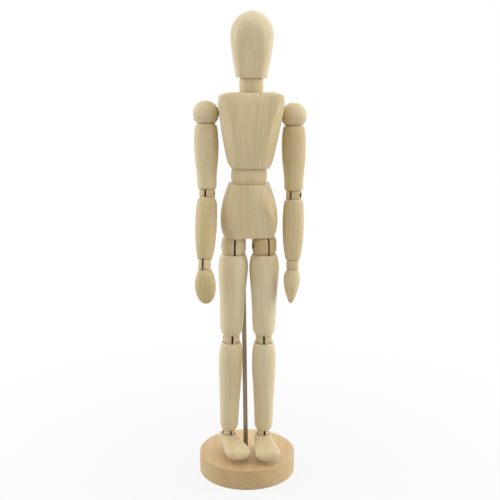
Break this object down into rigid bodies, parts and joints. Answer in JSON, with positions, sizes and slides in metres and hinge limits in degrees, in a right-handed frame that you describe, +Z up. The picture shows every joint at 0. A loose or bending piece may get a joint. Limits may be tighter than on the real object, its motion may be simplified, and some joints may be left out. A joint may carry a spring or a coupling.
{
  "type": "artist mannequin",
  "caption": "Jointed wooden lay figure standing on a rod and a round base, with slotted ball joints that hold any pose for drawing.",
  "frame": {"origin": "centre of the base underside, where the part rests on a table", "axes": "+Z up; the figure faces -Y; +X to the right of a viewer in front of it"},
  "size_m": [0.0713, 0.0669, 0.3047],
  "materials": {
    "wood": "satin",
    "base_wood": "satin",
    "steel": "satin"
  },
  "bodies": {
    "stand": {"base": "base_wood", "support_rod": "steel", "pelvis": "wood"},
    "left_hip": {"left_hip_ball": "wood", "left_hip_pin": "steel"},
    "left_thigh": {"left_thigh": "wood", "left_thigh_spring": "steel"},
    "left_knee": {"left_knee_ball": "wood", "left_knee_pin": "steel"},
    "left_shin": {"left_shin": "wood", "left_shin_spring": "steel"},
    "left_ankle": {"left_ankle_ball": "wood", "left_ankle_pin": "steel"},
    "left_foot": {"left_foot": "wood", "left_foot_eye": "steel"},
    "right_hip": {"right_hip_ball": "wood", "right_hip_pin": "steel"},
    "right_thigh": {"right_thigh": "wood", "right_thigh_spring": "steel"},
    "right_knee": {"right_knee_ball": "wood", "right_knee_pin": "steel"},
    "right_shin": {"right_shin": "wood", "right_shin_spring": "steel"},
    "right_ankle": {"right_ankle_ball": "wood", "right_ankle_pin": "steel"},
    "right_foot": {"right_foot": "wood", "right_foot_eye": "steel"},
    "waist": {"waist_ball": "wood", "waist_pin": "steel"},
    "torso_link": {"torso_spring": "steel"},
    "chest": {"chest": "wood", "shoulder_spring": "steel"},
    "neck": {"neck_ball": "wood", "neck_pin": "steel"},
    "head_link": {"head_eye": "steel"},
    "head": {"head": "wood"},
    "left_shoulder": {"left_shoulder_ball": "wood", "left_shoulder_pin": "steel"},
    "left_upper_arm": {"left_upper_arm": "wood", "left_upper_arm_spring": "steel"},
    "left_elbow": {"left_elbow_ball": "wood", "left_elbow_pin": "steel"},
    "left_forearm": {"left_forearm": "wood", "left_forearm_spring": "steel"},
    "left_wrist": {"left_wrist_ball": "wood", "left_wrist_pin": "steel"},
    "left_hand": {"left_hand": "wood", "left_hand_eye": "steel"},
    "right_shoulder": {"right_shoulder_ball": "wood", "right_shoulder_pin": "steel"},
    "right_upper_arm": {"right_upper_arm": "wood", "right_upper_arm_spring": "steel"},
    "right_elbow": {"right_elbow_ball": "wood", "right_elbow_pin": "steel"},
    "right_forearm": {"right_forearm": "wood", "right_forearm_spring": "steel"},
    "right_wrist": {"right_wrist_ball": "wood", "right_wrist_pin": "steel"},
    "right_hand": {"right_hand": "wood", "right_hand_eye": "steel"}
  },
  "joints": [
    {"name": "left_hip_turn", "type": "hinge", "parent": "stand", "child": "left_hip", "pos_m": [-0.0084, -0.01033, 0.15988], "axis": [0.0244, 0, 0.9997], "range_deg": [-32, 10]},
    {"name": "left_hip_bend", "type": "hinge", "parent": "left_hip", "child": "left_thigh", "pos_m": [-0.0084, -0.01033, 0.15988], "axis": [0.9922, 0.1219, -0.0242], "range_deg": [-65, 0]},
    {"name": "left_knee_turn", "type": "hinge", "parent": "left_thigh", "child": "left_knee", "pos_m": [-0.01027, -0.0076, 0.09696], "axis": [0.0297, -0.0433, 0.9986], "range_deg": [-40, 8]},
    {"name": "left_knee_bend", "type": "hinge", "parent": "left_knee", "child": "left_shin", "pos_m": [-0.01027, -0.0076, 0.09696], "axis": [0.9846, 0.1736, -0.0218], "range_deg": [-48, 4]},
    {"name": "left_ankle_turn", "type": "hinge", "parent": "left_shin", "child": "left_ankle", "pos_m": [-0.01228, -0.00468, 0.02956], "axis": [0.0297, -0.0433, 0.9986], "range_deg": [-40, 8]},
    {"name": "left_ankle_bend", "type": "hinge", "parent": "left_ankle", "child": "left_foot", "pos_m": [-0.01228, -0.00468, 0.02956], "axis": [0.9206, 0.3905, -0.0105], "range_deg": [-30, 4]},
    {"name": "right_hip_turn", "type": "hinge", "parent": "stand", "child": "right_hip", "pos_m": [0.0112, -0.01033, 0.15988], "axis": [0.0166, 0, -0.9999], "range_deg": [-12, 14]},
    {"name": "right_hip_bend", "type": "hinge", "parent": "right_hip", "child": "right_thigh", "pos_m": [0.0112, -0.01033, 0.15988], "axis": [0.9271, 0.3746, 0.0154], "range_deg": [-65, 0]},
    {"name": "right_knee_turn", "type": "hinge", "parent": "right_thigh", "child": "right_knee", "pos_m": [0.01121, -0.00778, 0.09693], "axis": [0.0002, 0.0404, -0.9992], "range_deg": [-40, 8]},
    {"name": "right_knee_bend", "type": "hinge", "parent": "right_knee", "child": "right_shin", "pos_m": [0.01121, -0.00778, 0.09693], "axis": [1, 0.0003, 0.0002], "range_deg": [-48, 48]},
    {"name": "right_ankle_turn", "type": "hinge", "parent": "right_shin", "child": "right_ankle", "pos_m": [0.01123, -0.00505, 0.02948], "axis": [0.0002, 0.0404, -0.9992], "range_deg": [-40, 8]},
    {"name": "right_ankle_bend", "type": "hinge", "parent": "right_ankle", "child": "right_foot", "pos_m": [0.01123, -0.00505, 0.02948], "axis": [0.9876, 0.1566, 0.0066], "range_deg": [-30, 8]},
    {"name": "waist_turn", "type": "hinge", "parent": "stand", "child": "waist", "pos_m": [0.0014, -0.01033, 0.20483], "axis": [0.0262, 0, 0.9997], "range_deg": [-90, 90]},
    {"name": "waist_bend", "type": "hinge", "parent": "waist", "child": "torso_link", "pos_m": [0.0014, -0.01033, 0.20483], "axis": [0.9997, 0, -0.0262], "range_deg": [-35, 35]},
    {"name": "chest_turn", "type": "hinge", "parent": "torso_link", "child": "chest", "pos_m": [0.0014, -0.01033, 0.20483], "axis": [0.0262, 0, 0.9997], "range_deg": [-90, 90]},
    {"name": "neck_turn", "type": "hinge", "parent": "chest", "child": "neck", "pos_m": [0.00285, -0.01033, 0.26036], "axis": [0.0262, 0, 0.9997], "range_deg": [-90, 90]},
    {"name": "neck_bend", "type": "hinge", "parent": "neck", "child": "head_link", "pos_m": [0.00285, -0.01033, 0.26036], "axis": [0.9998, 0, -0.0175], "range_deg": [-30, 30]},
    {"name": "head_turn", "type": "hinge", "parent": "head_link", "child": "head", "pos_m": [0.00285, -0.01033, 0.26036], "axis": [0.0175, 0, 0.9998], "range_deg": [-90, 90]},
    {"name": "left_shoulder_swing", "type": "hinge", "parent": "chest", "child": "left_shoulder", "pos_m": [-0.02545, -0.00787, 0.24284], "axis": [0.9972, 0.0698, -0.0261], "range_deg": [-95, 60]},
    {"name": "left_shoulder_lift", "type": "hinge", "parent": "left_shoulder", "child": "left_upper_arm", "pos_m": [-0.02545, -0.00787, 0.24284], "axis": [-0.0724, 0.9901, -0.12], "range_deg": [0, 80]},
    {"name": "left_elbow_turn", "type": "hinge", "parent": "left_upper_arm", "child": "left_elbow", "pos_m": [-0.02485, -0.01382, 0.1934], "axis": [-0.0121, 0.1195, 0.9928], "range_deg": [-90, 45]},
    {"name": "left_elbow_bend", "type": "hinge", "parent": "left_elbow", "child": "left_forearm", "pos_m": [-0.02485, -0.01382, 0.1934], "axis": [0.9786, -0.2024, 0.0363], "range_deg": [-42, 8]},
    {"name": "left_wrist_turn", "type": "hinge", "parent": "left_forearm", "child": "left_wrist", "pos_m": [-0.02623, -0.02804, 0.15115], "axis": [0.0308, 0.3189, 0.9473], "range_deg": [-90, 90]},
    {"name": "left_wrist_bend", "type": "hinge", "parent": "left_wrist", "child": "left_hand", "pos_m": [-0.02623, -0.02804, 0.15115], "axis": [0.9621, -0.2665, 0.0584], "range_deg": [-65, 45]},
    {"name": "right_shoulder_swing", "type": "hinge", "parent": "chest", "child": "right_shoulder", "pos_m": [0.02959, -0.00402, 0.2414], "axis": [0.9972, 0.0698, -0.0261], "range_deg": [-170, 60]},
    {"name": "right_shoulder_lift", "type": "hinge", "parent": "right_shoulder", "child": "right_upper_arm", "pos_m": [0.02959, -0.00402, 0.2414], "axis": [-0.0717, 0.9938, -0.0853], "range_deg": [-80, 0]},
    {"name": "right_elbow_turn", "type": "hinge", "parent": "right_upper_arm", "child": "right_elbow", "pos_m": [0.02981, -0.00826, 0.19178], "axis": [-0.0044, 0.0852, 0.9964], "range_deg": [-90, 90]},
    {"name": "right_elbow_bend", "type": "hinge", "parent": "right_elbow", "child": "right_forearm", "pos_m": [0.02981, -0.00826, 0.19178], "axis": [0.8919, -0.4502, 0.0424], "range_deg": [-50, 55]},
    {"name": "right_wrist_turn", "type": "hinge", "parent": "right_forearm", "child": "right_wrist", "pos_m": [0.0293, -0.01344, 0.14749], "axis": [0.0114, 0.1162, 0.9932], "range_deg": [-90, 90]},
    {"name": "right_wrist_bend", "type": "hinge", "parent": "right_wrist", "child": "right_hand", "pos_m": [0.0293, -0.01344, 0.14749], "axis": [-0.0021, 0.9932, -0.1162], "range_deg": [-65, 16]}
  ]
}
